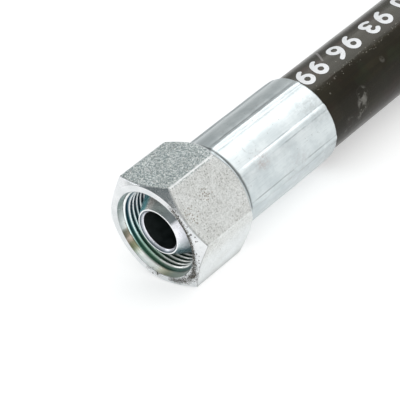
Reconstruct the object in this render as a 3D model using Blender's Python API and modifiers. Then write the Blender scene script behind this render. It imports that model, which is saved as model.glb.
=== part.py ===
"""A hydraulic hose with a crimped swivel fitting on each end, lying on a level floor.

Metres, +Z up. The floor is z = 0. Both fittings lie along X, and the hose runs between them in a long flat S, so that
half a turn about the Z axis carries one end onto the other. A fitting is modelled on its own axis: its local +Z runs
from the nut's open face into the hose, and its local +Y is up.
"""

import math

import bmesh
import bpy
from mathutils import Matrix, Vector

# Swivel nut
NUT_ACROSS_FLATS = 0.0320
NUT_LENGTH = 0.0232
NUT_FRONT_RING_RADIUS = 0.0156
NUT_FRONT_CHAMFER_ANGLE = math.radians(30)
NUT_REAR_RING_RADIUS = 0.0150
NUT_REAR_CHAMFER_ANGLE = math.radians(45)
MOUTH_RADIUS = 0.01365
MOUTH_DEPTH = 0.0020
MOUTH_TAPER = 0.00025
THREAD_MINOR_RADIUS = 0.01206
THREAD_LEAD_IN = 0.0011
SEAT_START = 0.0163
SEAT_ANGLE = math.radians(45)

# Nipple, with a convex 60 degree sealing cone
NOSE_SETBACK = 0.0015
NOSE_RADIUS = 0.0071
NOSE_BEVEL = 0.0006
CONE_HALF_ANGLE = math.radians(30)
SHOULDER_RADIUS = 0.0112
NECK_RADIUS = 0.0093
NECK_SEAT_DEPTH = 0.0030
TAIL_RADIUS = 0.0083
BORE_RADIUS = 0.0060

# Crimped ferrule
FERRULE_GAP = 0.0008
FERRULE_LENGTH = 0.0387
FERRULE_RADIUS = 0.01362
FERRULE_EDGE_BEVEL = 0.0005
JAW_COUNT = 8
JAW_PHASE = math.radians(14)
RIDGE_HEIGHT = 0.00045
RIDGE_TOP_HALF_WIDTH = 0.0005
RIDGE_FOOT_HALF_WIDTH = 0.0013
POINTS_PER_JAW_ARC = 3

# Hose
HOSE_RADIUS = 0.0128
HOSE_POINT_SPACING = 0.015
HOSE_LEAD = 0.050

# Where the near end lies: the centre of its nut's open face, which points to -X
NEAR_FACE_X = -0.2500
NEAR_FACE_Y = -0.0200

# The hose's way from its near straight lead down onto the floor and to its middle; the rest is turned from it
HALF_ROUTE = [
    (-0.1000, -0.0180, 0.0152),
    (-0.0660, -0.0136, 0.0137),
    (-0.0320, -0.0070, 0.0129),
]
MIDDLE_OF_ROUTE = (0.0, 0.0, 0.0129)

CLEARANCE = 0.0003
OVERCUT = 0.002
ROUND_SEGMENTS = 48
HOSE_BEVEL_RESOLUTION = 4
SMOOTH_ANGLE = math.radians(25)

# Worked out from the sizes above
AXIS_HEIGHT = NUT_ACROSS_FLATS / 2
NUT_CORNER_RADIUS = NUT_ACROSS_FLATS / math.sqrt(3)
FLAT_TURN = math.radians(30)
REAR_HOLE_RADIUS = NECK_RADIUS + CLEARANCE
FERRULE_START = NUT_LENGTH + FERRULE_GAP
FERRULE_END = FERRULE_START + FERRULE_LENGTH
TAIL_END = FERRULE_END - CLEARANCE


def clear_scene():
    for thing in list(bpy.data.objects):
        bpy.data.objects.remove(thing, do_unlink=True)


def new_collection(name):
    collection = bpy.data.collections.new(name)
    bpy.context.scene.collection.children.link(collection)
    return collection


def metal(name, colour, roughness):
    material = bpy.data.materials.new(name)
    material.use_nodes = True
    shader = material.node_tree.nodes["Principled BSDF"]
    shader.inputs["Base Color"].default_value = (*colour, 1.0)
    shader.inputs["Metallic"].default_value = 1.0
    shader.inputs["Roughness"].default_value = roughness
    return material


def rubber(name, colour, roughness):
    material = metal(name, colour, roughness)
    material.node_tree.nodes["Principled BSDF"].inputs["Metallic"].default_value = 0.0
    return material


def place(name, data, collection, parent):
    thing = bpy.data.objects.new(name, data)
    collection.objects.link(thing)
    thing.parent = parent
    return thing


def turned(name, outline, collection, parent, closed=False):
    """A turned solid about local Z; the outline's (radius, height) points run down its outer side."""
    mesh = bpy.data.meshes.new(name)
    shape = bmesh.new()
    points = [shape.verts.new((radius, 0.0, height)) for radius, height in outline]
    for start, end in zip(points, points[1:]):
        shape.edges.new((start, end))
    if closed:
        shape.edges.new((points[-1], points[0]))
    shape.to_mesh(mesh)
    shape.free()
    thing = place(name, mesh, collection, parent)
    screw = thing.modifiers.new("turn", "SCREW")
    screw.axis = "Z"
    screw.steps = ROUND_SEGMENTS
    screw.render_steps = ROUND_SEGMENTS
    screw.use_merge_vertices = True
    screw.merge_threshold = 0.00001
    return thing


def as_cutter(thing):
    thing.hide_render = True
    thing.display_type = "WIRE"
    return thing


def combine(thing, other, operation):
    boolean = thing.modifiers.new(operation.lower(), "BOOLEAN")
    boolean.operation = operation
    boolean.object = other


def smooth_round_faces(thing):
    """Shades the evaluated mesh smooth, with its real edges kept sharp."""
    evaluated = thing.evaluated_get(bpy.context.evaluated_depsgraph_get())
    mesh = bpy.data.meshes.new_from_object(evaluated)
    mesh.shade_smooth()
    mesh.set_sharp_from_angle(angle=SMOOTH_ANGLE)
    thing.modifiers.clear()
    thing.data = mesh


def chamfered_envelope(end):
    """The turned outer limit that cuts the hexagon's corners at both ends of the nut."""
    beyond = NUT_CORNER_RADIUS + OVERCUT
    front_rise = (beyond - NUT_FRONT_RING_RADIUS) * math.tan(NUT_FRONT_CHAMFER_ANGLE)
    rear_rise = (beyond - NUT_REAR_RING_RADIUS) * math.tan(NUT_REAR_CHAMFER_ANGLE)
    return [
        (0.0, end),
        (NUT_REAR_RING_RADIUS, end),
        (beyond, end - rear_rise),
        (beyond, front_rise),
        (NUT_FRONT_RING_RADIUS, 0.0),
        (0.0, 0.0),
    ]


def nut_inside():
    """The turned hollow of the nut: mouth, thread at its minor radius, seat for the shoulder and rear hole."""
    seat_length = (THREAD_MINOR_RADIUS - REAR_HOLE_RADIUS) * math.tan(SEAT_ANGLE)
    return [
        (0.0, NUT_LENGTH + OVERCUT),
        (REAR_HOLE_RADIUS, NUT_LENGTH + OVERCUT),
        (REAR_HOLE_RADIUS, SEAT_START + seat_length),
        (THREAD_MINOR_RADIUS, SEAT_START),
        (THREAD_MINOR_RADIUS, MOUTH_DEPTH + THREAD_LEAD_IN),
        (MOUTH_RADIUS - MOUTH_TAPER, MOUTH_DEPTH),
        (MOUTH_RADIUS, 0.0),
        (MOUTH_RADIUS, -OVERCUT),
        (0.0, -OVERCUT),
    ]


def make_nut(name, parts, cutters, parent, material):
    mesh = bpy.data.meshes.new(name)
    shape = bmesh.new()
    bmesh.ops.create_cone(
        shape,
        cap_ends=True,
        segments=6,
        radius1=NUT_CORNER_RADIUS,
        radius2=NUT_CORNER_RADIUS,
        depth=NUT_LENGTH + 2 * OVERCUT,
        matrix=Matrix.Translation((0.0, 0.0, NUT_LENGTH / 2)) @ Matrix.Rotation(FLAT_TURN, 4, "Z"),
    )
    shape.to_mesh(mesh)
    shape.free()
    nut = place(name, mesh, parts, parent)
    envelope = as_cutter(turned(name + "_envelope", chamfered_envelope(NUT_LENGTH), cutters, parent))
    inside = as_cutter(turned(name + "_inside", nut_inside(), cutters, parent))
    combine(nut, envelope, "INTERSECT")
    combine(nut, inside, "DIFFERENCE")
    nut.data.materials.append(material)
    return nut


def nipple_outline():
    """The nipple's half section, from the tail's end down its outer side to the nose, and back up its bore."""
    cone_length = (SHOULDER_RADIUS - NOSE_RADIUS) / math.tan(CONE_HALF_ANGLE)
    seat_offset = CLEARANCE / math.sin(SEAT_ANGLE)
    widest_at_seat = SEAT_START + (THREAD_MINOR_RADIUS - SHOULDER_RADIUS) * math.tan(SEAT_ANGLE) - seat_offset
    neck_at_seat = widest_at_seat + (SHOULDER_RADIUS - NECK_RADIUS) * math.tan(SEAT_ANGLE)
    neck_end = FERRULE_START + NECK_SEAT_DEPTH
    return [
        (TAIL_RADIUS, TAIL_END),
        (TAIL_RADIUS, neck_end),
        (NECK_RADIUS, neck_end),
        (NECK_RADIUS, neck_at_seat),
        (SHOULDER_RADIUS, widest_at_seat),
        (SHOULDER_RADIUS, NOSE_SETBACK + cone_length),
        (NOSE_RADIUS, NOSE_SETBACK),
        (BORE_RADIUS + NOSE_BEVEL, NOSE_SETBACK),
        (BORE_RADIUS, NOSE_SETBACK + NOSE_BEVEL),
        (BORE_RADIUS, TAIL_END),
    ]


def make_nipple(name, parts, parent, material):
    nipple = turned(name, nipple_outline(), parts, parent, closed=True)
    nipple.data.materials.append(material)
    return nipple


def crimped_outline():
    """The ferrule's outline across its axis: arcs left by the press jaws, with a ridge between each two."""
    top = RIDGE_TOP_HALF_WIDTH / FERRULE_RADIUS
    foot = RIDGE_FOOT_HALF_WIDTH / FERRULE_RADIUS
    jaw = 2 * math.pi / JAW_COUNT
    points = []
    for number in range(JAW_COUNT):
        ridge = JAW_PHASE + number * jaw
        points.append((ridge - foot, FERRULE_RADIUS))
        points.append((ridge - top, FERRULE_RADIUS + RIDGE_HEIGHT))
        points.append((ridge + top, FERRULE_RADIUS + RIDGE_HEIGHT))
        points.append((ridge + foot, FERRULE_RADIUS))
        for step in range(1, POINTS_PER_JAW_ARC + 1):
            share = step / (POINTS_PER_JAW_ARC + 1)
            points.append((ridge + foot + share * (jaw - 2 * foot), FERRULE_RADIUS))
    return [(radius * math.cos(angle), radius * math.sin(angle), 0.0) for angle, radius in points]


def ferrule_envelope():
    """The turned outer limit that bevels the ferrule's two ends, ridges included."""
    widest = FERRULE_RADIUS + RIDGE_HEIGHT + OVERCUT
    end_radius = FERRULE_RADIUS - FERRULE_EDGE_BEVEL
    rise = widest - end_radius
    return [
        (0.0, FERRULE_END),
        (end_radius, FERRULE_END),
        (widest, FERRULE_END - rise),
        (widest, FERRULE_START + rise),
        (end_radius, FERRULE_START),
        (0.0, FERRULE_START),
    ]


def ferrule_inside():
    """The turned hollow that the nipple's neck and tail fill."""
    neck_hole = NECK_RADIUS + CLEARANCE
    tail_hole = TAIL_RADIUS + CLEARANCE
    step = FERRULE_START + NECK_SEAT_DEPTH + CLEARANCE
    return [
        (0.0, FERRULE_END + OVERCUT),
        (tail_hole, FERRULE_END + OVERCUT),
        (tail_hole, step),
        (neck_hole, step),
        (neck_hole, FERRULE_START - OVERCUT),
        (0.0, FERRULE_START - OVERCUT),
    ]


def flat_outline(name, points, thickness):
    """A flat closed outline as a 2D curve, filled on both sides and given a thickness."""
    curve = bpy.data.curves.new(name, "CURVE")
    curve.dimensions = "2D"
    curve.fill_mode = "BOTH"
    curve.extrude = thickness / 2
    spline = curve.splines.new("POLY")
    spline.points.add(len(points) - 1)
    for point, position in zip(spline.points, points):
        point.co = (*position, 1.0)
    spline.use_cyclic_u = True
    return curve


def mesh_from_curve(name, curve, collection):
    """The solid mesh of a curve, with its loose caps welded on."""
    drawn = bpy.data.objects.new(name + "_outline", curve)
    collection.objects.link(drawn)
    evaluated = drawn.evaluated_get(bpy.context.evaluated_depsgraph_get())
    mesh = bpy.data.meshes.new_from_object(evaluated)
    shape = bmesh.new()
    shape.from_mesh(mesh)
    bmesh.ops.remove_doubles(shape, verts=shape.verts, dist=0.00001)
    bmesh.ops.recalc_face_normals(shape, faces=shape.faces)
    shape.to_mesh(mesh)
    shape.free()
    bpy.data.objects.remove(drawn, do_unlink=True)
    return mesh


def make_ferrule(name, parts, cutters, parent, material):
    outline = flat_outline(name, crimped_outline(), FERRULE_LENGTH + 2 * OVERCUT)
    mesh = mesh_from_curve(name, outline, parts)
    mesh.transform(Matrix.Translation((0.0, 0.0, (FERRULE_START + FERRULE_END) / 2)))
    ferrule = place(name, mesh, parts, parent)
    envelope = as_cutter(turned(name + "_envelope", ferrule_envelope(), cutters, parent))
    inside = as_cutter(turned(name + "_inside", ferrule_inside(), cutters, parent))
    combine(ferrule, envelope, "INTERSECT")
    combine(ferrule, inside, "DIFFERENCE")
    ferrule.data.materials.append(material)
    return ferrule


def near_pose():
    """The near fitting's place: its local +Z points into the hose along +X, its local +Y up."""
    across, up, inward = Vector((0, 1, 0)), Vector((0, 0, 1)), Vector((1, 0, 0))
    turn = Matrix((across, up, inward)).transposed().to_4x4()
    return Matrix.Translation((NEAR_FACE_X, NEAR_FACE_Y, AXIS_HEIGHT)) @ turn


def half_turn():
    """Half a turn about the Z axis, which carries the near end onto the far one."""
    return Matrix.Rotation(math.pi, 4, "Z")


def make_fitting(label, pose, parts, cutters, materials):
    axis = bpy.data.objects.new(label + "_axis", None)
    parts.objects.link(axis)
    axis.matrix_world = pose
    bpy.context.view_layer.update()
    pieces = [
        make_nut(label + "_nut", parts, cutters, axis, materials["nut"]),
        make_nipple(label + "_nipple", parts, axis, materials["nipple"]),
        make_ferrule(label + "_ferrule", parts, cutters, axis, materials["ferrule"]),
    ]
    bpy.context.view_layer.update()
    for piece in pieces:
        smooth_round_faces(piece)


def hose_route():
    """The points that the hose passes through, from the near ferrule to the far one."""
    start = FERRULE_END + CLEARANCE
    lead = [start, start + HOSE_LEAD / 2, start + HOSE_LEAD]
    near = [near_pose() @ Vector((0.0, 0.0, distance)) for distance in lead]
    near += [Vector(point) for point in HALF_ROUTE]
    far = [half_turn() @ point for point in reversed(near)]
    return near + [Vector(MIDDLE_OF_ROUTE)] + far


def smooth_points(route, spacing):
    """Points on a centripetal Catmull-Rom curve through the route, about one spacing apart."""
    before = route[0] - (route[1] - route[0])
    after = route[-1] + (route[-1] - route[-2])
    stops = [before] + route + [after]
    points = [route[0]]
    for p0, p1, p2, p3 in zip(stops, stops[1:], stops[2:], stops[3:]):
        t1 = (p1 - p0).length ** 0.5
        t2 = t1 + (p2 - p1).length ** 0.5
        t3 = t2 + (p3 - p2).length ** 0.5
        count = max(1, round((p2 - p1).length / spacing))
        for number in range(1, count + 1):
            t = t1 + (t2 - t1) * number / count
            a1 = p0.lerp(p1, t / t1)
            a2 = p1.lerp(p2, (t - t1) / (t2 - t1))
            a3 = p2.lerp(p3, (t - t2) / (t3 - t2))
            b1 = a1.lerp(a2, t / t2)
            b2 = a2.lerp(a3, (t - t1) / (t3 - t1))
            points.append(b1.lerp(b2, (t - t1) / (t2 - t1)))
    return points


def make_hose(parts, material):
    curve = bpy.data.curves.new("hose", "CURVE")
    curve.dimensions = "3D"
    curve.bevel_depth = HOSE_RADIUS
    curve.bevel_resolution = HOSE_BEVEL_RESOLUTION
    curve.use_fill_caps = True
    spline = curve.splines.new("POLY")
    points = smooth_points(hose_route(), HOSE_POINT_SPACING)
    spline.points.add(len(points) - 1)
    for point, position in zip(spline.points, points):
        point.co = (*position, 1.0)
    hose = bpy.data.objects.new("hose", curve)
    parts.objects.link(hose)
    curve.materials.append(material)
    return hose


def main():
    clear_scene()
    parts = new_collection("hydraulic_hose")
    cutters = new_collection("cutters")
    materials = {
        "nut": metal("nut_zinc", (0.72, 0.72, 0.70), 0.38),
        "nipple": metal("nipple_zinc", (0.60, 0.63, 0.63), 0.25),
        "ferrule": metal("ferrule_zinc", (0.80, 0.82, 0.83), 0.30),
    }
    make_fitting("near", near_pose(), parts, cutters, materials)
    make_fitting("far", half_turn() @ near_pose(), parts, cutters, materials)
    make_hose(parts, rubber("hose_rubber", (0.035, 0.032, 0.028), 0.6))


main()
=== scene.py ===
"""How the hydraulic hose looks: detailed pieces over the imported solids, camera, floor and studio light.

Metres, in the model's own frame. Pieces of a fitting are modelled on its own axis: local +Z runs from the
nut's open face into the hose, local +X is across and local +Y is up. Angles about the axis run from local +X
towards local +Y.
"""

import math

import bmesh
import bpy
import numpy as np
from mathutils import Matrix, Vector


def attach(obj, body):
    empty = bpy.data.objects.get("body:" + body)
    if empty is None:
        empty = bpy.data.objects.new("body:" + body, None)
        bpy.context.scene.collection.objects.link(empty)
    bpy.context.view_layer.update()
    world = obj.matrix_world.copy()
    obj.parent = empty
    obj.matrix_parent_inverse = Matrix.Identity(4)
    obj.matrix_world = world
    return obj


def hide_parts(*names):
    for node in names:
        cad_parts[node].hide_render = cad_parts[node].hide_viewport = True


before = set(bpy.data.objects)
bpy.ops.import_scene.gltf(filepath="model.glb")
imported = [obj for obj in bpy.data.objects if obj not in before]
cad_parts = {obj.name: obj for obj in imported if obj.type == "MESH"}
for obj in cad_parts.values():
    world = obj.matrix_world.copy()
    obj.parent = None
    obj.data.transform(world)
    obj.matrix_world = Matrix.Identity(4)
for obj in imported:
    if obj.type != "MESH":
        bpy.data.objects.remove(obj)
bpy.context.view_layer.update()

# Places and sizes repeated from the model's source
NEAR_FACE = (-0.25, -0.02, 0.016)
NUT_ACROSS_FLATS = 0.032
NUT_LENGTH = 0.0232
FRONT_RING_RADIUS = 0.0156
REAR_RING_RADIUS = 0.015
MOUTH_RADIUS = 0.01365
MOUTH_DEPTH = 0.002
THREAD_MINOR_RADIUS = 0.01206
SEAT_START = 0.0163
REAR_HOLE_RADIUS = 0.0096
NOSE_SETBACK = 0.0015
NOSE_RADIUS = 0.0071
CONE_TOP_RADIUS = 0.0112
SHOULDER_START = 0.01674
SHOULDER_END = 0.01864
NECK_RADIUS = 0.0093
NECK_SEAT_DEPTH = 0.003
TAIL_RADIUS = 0.0083
BORE_RADIUS = 0.006
CLEARANCE = 0.0003
FERRULE_START = 0.024
FERRULE_END = 0.0627
FERRULE_RADIUS = 0.01362
JAW_COUNT = 8
JAW_PHASE = math.radians(14)
HOSE_RADIUS = 0.0128
HOSE_START = 0.063
HOSE_LEAD = 0.05
HALF_ROUTE = [
    (-0.1, -0.018, 0.0152),
    (-0.066, -0.0136, 0.0137),
    (-0.032, -0.007, 0.0129),
]
MIDDLE_OF_ROUTE = (0.0, 0.0, 0.0129)

# Fine shapes that the solids leave out
CORNER_ROUNDING = 0.00035
FRONT_ROUNDING = 0.00022
REAR_ROUNDING = 0.0003
LIP_ROUNDING = 0.00016
LIP_DEPTH = 0.0006
MOUTH_TAPER = 0.00045
LEAD_IN_SLOPE = 1.1
THREAD_MAJOR_RADIUS = 0.01322
THREAD_PITCH = 0.0015
THREAD_END = 0.0142
THREAD_FADE = 0.0012
THREAD_SHIFT = 0.5
CREST_SHARE = 0.2
FLANK_SHARE = 0.66
DARK_START = 0.04
DARK_SHARE = 0.36
FLANK_SOFTNESS = 0.35
NIPPLE_COLUMNS = 145
RIDGE_HEIGHT = 0.00034
RIDGE_HALF_WIDTH = 0.00075
GROOVE_DEPTH = 0.00006
GROOVE_PLACE = 0.0015
GROOVE_HALF_WIDTH = 0.0005
RIM_ROUNDING = 0.0006
RIM_FADE = 0.0022
HOSE_COLUMNS = 97
HOSE_SPACING = 0.002

# The numbers on the hose: lengths in metres, angles round it, and widths as shares of a digit's size
LAST_NUMBER = 33
PRINT_START = 0.0115
PRINT_STEP = 0.0152
DIGIT_SIZE = 0.0076
DIGIT_SPACING = 0.8
DIGIT_FOOT = math.radians(85.5)
DIGIT_TOP = math.radians(117)
STROKE_HALF_WIDTH = 0.098
INK_HEIGHT = 0.00004

# Sizes for cleaning meshes up
WELD = 0.0000015
HAIR = 0.00001
SHARP_ANGLE = math.radians(35)

# Colours round the axis, as (degrees, colour in hundredths): faint plating hues mixed with painted
# reflections, painted highlights on the thread's crests and painted shade in its valleys
BAND_TINTS = [
    (0, (90, 92, 91)), (12, (66, 72, 71)), (30, (42, 49, 48)), (55, (46, 53, 53)), (68, (90, 93, 94)),
    (180, (90, 90, 91)), (235, (62, 65, 63)), (262, (40, 45, 40)), (274, (40, 41, 30)), (283, (84, 80, 64)),
    (290, (98, 97, 90)), (304, (100, 100, 97)), (316, (88, 90, 86)), (321, (62, 66, 54)), (325, (27, 29, 17)),
    (332, (23, 23, 13)), (335, (46, 38, 29)), (339, (58, 47, 39)), (342, (25, 22, 16)), (349, (22, 21, 16)),
    (352, (78, 78, 74)),
]
CREST_TINTS = [
    (20, (100, 100, 100)), (60, (96, 100, 100)), (180, (90, 95, 97)), (238, (100, 100, 100)),
    (288, (100, 100, 96)), (298, (60, 76, 64)), (325, (40, 60, 50)), (345, (74, 94, 92)),
]
VALLEY_TINTS = [
    (20, (2, 7, 10)), (60, (2, 9, 12)), (180, (10, 15, 18)), (238, (2, 5, 5)), (285, (5, 10, 7)),
    (305, (6, 14, 9)), (325, (4, 12, 8)), (345, (2, 9, 9)),
]
CONE_TINTS = [
    (5, (40, 56, 66)), (30, (50, 74, 82)), (46, (10, 38, 42)), (62, (14, 38, 40)), (74, (50, 46, 43)),
    (92, (20, 22, 21)), (112, (22, 25, 24)), (145, (15, 17, 18)), (152, (78, 78, 82)), (185, (84, 84, 89)),
    (208, (64, 71, 73)), (222, (14, 24, 27)), (300, (8, 17, 16)),
]
# The nose's colours: a painted highlight on its front edge, painted shade in its step, and a pale bevel
NOSE_COLOUR = np.array((0.5, 0.52, 0.55))
NOSE_EDGE_COLOUR = np.array((1.0, 1.0, 1.0))
NOSE_STEP_COLOUR = (0.1, 0.13, 0.15)
NOSE_BEVEL_COLOUR = (0.8, 0.8, 0.86)
BAND_STEP_SHADE = 0.35

# The grime round the mouth's rim, as (degrees, radius in millimetres, amount)
GRIME_LINE = [
    (120, 15.3, 0.0), (134, 15.1, 0.8), (144, 14.3, 0.9), (156, 13.8, 1.0), (183, 13.7, 1.0),
    (197, 13.9, 0.9), (211, 14.6, 0.9), (223, 15.3, 1.0), (236, 15.1, 0.8), (250, 14.8, 0.85),
    (264, 14.2, 0.8), (272, 13.9, 0.3), (284, 13.9, 0.8), (291, 13.9, 0.4), (299, 13.9, 0.7),
    (308, 13.8, 0.0),
]
GRIME_REACH = 0.0021

NEAR_POSE = Matrix((
    (0.0, 0.0, 1.0, NEAR_FACE[0]),
    (1.0, 0.0, 0.0, NEAR_FACE[1]),
    (0.0, 1.0, 0.0, NEAR_FACE[2]),
    (0.0, 0.0, 0.0, 1.0),
))
HALF_TURN = Matrix.Rotation(math.pi, 4, "Z")
POSES = {"near": NEAR_POSE, "far": HALF_TURN @ NEAR_POSE}


def new_object(name, data):
    made = bpy.data.objects.new(name, data)
    bpy.context.scene.collection.objects.link(made)
    return made


# The camera, at the photograph's place

camera_data = bpy.data.cameras.new("camera")
camera_data.lens = 174.52
camera_data.sensor_width = 36.0
camera = new_object("camera", camera_data)
camera.matrix_world = Matrix((
    (0.65428434, 0.52116469, -0.54799577, -0.523369),
    (-0.71806073, 0.20077246, -0.66639269, -0.375205),
    (-0.23727788, 0.82950454, 0.50559017, 0.285123),
    (0.0, 0.0, 0.0, 1.0),
))
bpy.context.scene.camera = camera


# Mesh helpers

def new_piece(name, mesh, material):
    mesh.materials.append(material)
    return new_object(name, mesh)


def grid_faces(rows, columns, first):
    """Faces of a grid of points stored row by row, the first of them at this number."""
    faces = []
    for row in range(rows - 1):
        for column in range(columns - 1):
            a = first + row * columns + column
            faces.append((a, a + 1, a + 1 + columns, a + columns))
    return faces


def mesh_of_grids(name, grids):
    """One mesh from grids of points, each an array of rows, columns and x, y, z, welded where they touch."""
    points, faces = [], []
    for grid in grids:
        rows, columns = grid.shape[:2]
        faces += grid_faces(rows, columns, len(points))
        points += [tuple(point) for point in grid.reshape(-1, 3)]
    mesh = bpy.data.meshes.new(name)
    mesh.from_pydata(points, [], faces)
    shape = bmesh.new()
    shape.from_mesh(mesh)
    bmesh.ops.remove_doubles(shape, verts=shape.verts, dist=WELD)
    bmesh.ops.dissolve_degenerate(shape, edges=shape.edges, dist=WELD)
    bmesh.ops.recalc_face_normals(shape, faces=shape.faces)
    shape.to_mesh(mesh)
    shape.free()
    mesh.shade_smooth()
    mesh.set_sharp_from_angle(angle=SHARP_ANGLE)
    return mesh


def turned_grid(outline, angles):
    """Points of an outline of (radius, height) turned about local Z."""
    radii = np.array([point[0] for point in outline])[:, None]
    heights = np.array([point[1] for point in outline])[:, None]
    return np.stack([
        radii * np.cos(angles)[None, :],
        radii * np.sin(angles)[None, :],
        heights + 0 * angles[None, :],
    ], axis=-1)


def rounded(outline, corners):
    """The outline with some corners rounded: a point's number gives the length taken off each side of it."""
    steps = 4
    points = []
    for number, point in enumerate(outline):
        if number not in corners:
            points.append(tuple(point))
            continue
        here = Vector(point)
        before = Vector(outline[number - 1])
        after = Vector(outline[(number + 1) % len(outline)])
        start = here + (before - here).normalized() * corners[number]
        end = here + (after - here).normalized() * corners[number]
        for step in range(steps + 1):
            t = step / steps
            where = start * (1 - t) ** 2 + here * 2 * t * (1 - t) + end * t ** 2
            points.append((where.x, where.y))
    return points


def split(outline, longest):
    """The outline with its long stretches cut into shorter ones."""
    points = [outline[0]]
    for start, end in zip(outline, outline[1:]):
        count = max(1, math.ceil(math.dist(start, end) / longest))
        for number in range(1, count + 1):
            t = number / count
            points.append((start[0] + (end[0] - start[0]) * t, start[1] + (end[1] - start[1]) * t))
    return points


def colour_round(angles, stops):
    """Colours at angles in degrees, between stops of (angle, colour in hundredths) that go once round."""
    first = [(stops[-1][0] - 360, stops[-1][1])] + list(stops) + [(stops[0][0] + 360, stops[0][1])]
    places = [stop[0] for stop in first]
    channels = [[stop[1][channel] / 100 for stop in first] for channel in range(3)]
    return np.stack([np.interp(angles % 360, places, channel) for channel in channels], axis=-1)


def mesh_points(mesh):
    """The mesh's points, as rows of x, y and z."""
    points = np.zeros(len(mesh.vertices) * 3)
    mesh.vertices.foreach_get("co", points)
    return points.reshape(-1, 3)


def write_places(mesh, places):
    """Keeps each point's place along its own axis, in millimetres, for the materials."""
    attribute = mesh.attributes.new("local_place", "FLOAT_VECTOR", "POINT")
    attribute.data.foreach_set("vector", (places * 1000).reshape(-1))


def write_tints(mesh, colours):
    """Keeps each point's colour: faint plating hues mixed with painted reflections, highlights and shade."""
    attribute = mesh.color_attributes.new("tint", "FLOAT_COLOR", "POINT")
    whole = np.concatenate([np.clip(colours, 0, 1), np.ones((len(colours), 1))], axis=1)
    attribute.data.foreach_set("color", whole.reshape(-1))


def round_places(mesh):
    """Each point's angle in degrees, radius and height about local Z."""
    points = mesh_points(mesh)
    angles = np.degrees(np.arctan2(points[:, 1], points[:, 0])) % 360
    return angles, np.hypot(points[:, 0], points[:, 1]), points[:, 2]


# Nut

def hexagon():
    """Points round the nut's hexagon with rounded corners, which lie at 0, 60, 120 degrees and so on."""
    per_flat, per_corner = 22, 7
    half = NUT_ACROSS_FLATS / 2
    side = half * math.tan(math.radians(30))
    rounding = CORNER_ROUNDING
    tangent = rounding * math.tan(math.radians(30))
    centre = (half - rounding) / math.cos(math.radians(30))
    points = []
    for number in range(6):
        corner = math.radians(60 * number)
        for step in range(per_corner):
            turn = corner + math.radians(-30 + 60 * step / (per_corner - 1))
            points.append((
                centre * math.cos(corner) + rounding * math.cos(turn),
                centre * math.sin(corner) + rounding * math.sin(turn),
            ))
        normal = corner + math.radians(30)
        for step in range(1, per_flat):
            along = -(side - tangent) + 2 * (side - tangent) * step / per_flat
            points.append((
                half * math.cos(normal) - along * math.sin(normal),
                half * math.sin(normal) + along * math.cos(normal),
            ))
    return np.array(points)


def nut_profile(radius):
    """The nut's outer half section where its hexagon has this radius, as (radius, height) points."""
    front = (radius - FRONT_RING_RADIUS) * math.tan(math.radians(30))
    rear = NUT_LENGTH - (radius - REAR_RING_RADIUS)
    corners = [
        (MOUTH_RADIUS, LIP_DEPTH),
        (MOUTH_RADIUS, 0.0),
        (FRONT_RING_RADIUS, 0.0),
        (radius, front),
        (radius, rear),
        (REAR_RING_RADIUS, NUT_LENGTH),
        (REAR_HOLE_RADIUS, NUT_LENGTH),
    ]
    chamfer = min(FRONT_ROUNDING, 0.45 * math.dist(corners[2], corners[3]))
    back = min(REAR_ROUNDING, 0.45 * math.dist(corners[4], corners[5]))
    points = rounded(corners, {1: LIP_ROUNDING, 2: 0.4 * chamfer, 3: chamfer, 4: back, 5: 0.4 * back})
    # more points across the front ring and along the flat
    ring, flat = points[5:7], points[15:17]
    across = [(ring[0][0] + (ring[1][0] - ring[0][0]) * step / 7, 0.0) for step in range(1, 7)]
    along = [(radius, flat[0][1] + (flat[1][1] - flat[0][1]) * step / 8) for step in range(1, 8)]
    return points[:6] + across + points[6:16] + along + points[16:]


def thread_flank(turns):
    """0 on the thread's crest and 1 at its root, at a number of turns along the helix."""
    away = np.abs(turns % 1.0 - 0.5) * 2
    return np.clip((away - CREST_SHARE) / FLANK_SHARE, 0, 1)


def thread_grid(angles):
    """Points of the threaded bore, with rows that follow the helix; the last column repeats the first."""
    rows_a_turn = 16
    step = THREAD_PITCH / rows_a_turn
    start, end = MOUTH_DEPTH, THREAD_END
    first = -rows_a_turn - 2
    last = math.ceil((end - start) / step) + 2
    depth = THREAD_MAJOR_RADIUS - THREAD_MINOR_RADIUS
    grid = []
    for row in range(first, last + 1):
        heights = start + (row + rows_a_turn * angles / (2 * math.pi)) * step
        flank = float(thread_flank(row / rows_a_turn + THREAD_SHIFT))
        soft = flank * flank * (3 - 2 * flank) * FLANK_SOFTNESS + flank * (1 - FLANK_SOFTNESS)
        thread = THREAD_MINOR_RADIUS + depth * soft
        heights = np.clip(heights, start, end)
        lead = MOUTH_RADIUS - MOUTH_TAPER - (heights - start) * LEAD_IN_SLOPE
        fade = np.clip((end - heights) / THREAD_FADE, 0, 1)
        radii = np.maximum(THREAD_MINOR_RADIUS + (thread - THREAD_MINOR_RADIUS) * fade, lead)
        radii = np.where(heights <= start, MOUTH_RADIUS - MOUTH_TAPER, radii)
        grid.append(np.stack([radii * np.cos(angles), radii * np.sin(angles), heights], axis=-1))
    return np.array(grid)


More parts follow.
